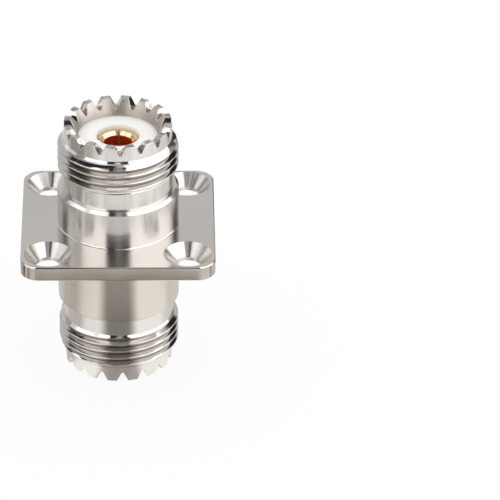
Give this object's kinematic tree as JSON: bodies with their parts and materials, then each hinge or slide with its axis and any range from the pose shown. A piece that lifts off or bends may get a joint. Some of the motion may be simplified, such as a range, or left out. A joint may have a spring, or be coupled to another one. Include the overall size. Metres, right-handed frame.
{
  "type": "uhf connector",
  "caption": "Coaxial through-socket: square flange with countersunk screw holes, threaded barrels with toothed rims, pale insulators and a gold slotted contact.",
  "frame": {"origin": "where the sockets' axis meets the flange's lower face, which seats on the panel", "axes": "+Z along the sockets' axis towards the front socket, on the side where the countersinks open; X and Y along the flange's sides"},
  "size_m": [0.0254, 0.0254, 0.0356],
  "materials": {
    "nickel_plate": "brass with bright nickel plate, fine turned",
    "insulator": "smooth white fluoropolymer",
    "gold_plate": "gold plated, polished"
  },
  "bodies": {
    "root": {"flange_body": "nickel_plate", "front_insulator": "insulator", "rear_insulator": "insulator", "centre_contact": "gold_plate"}
  },
  "joints": []
}
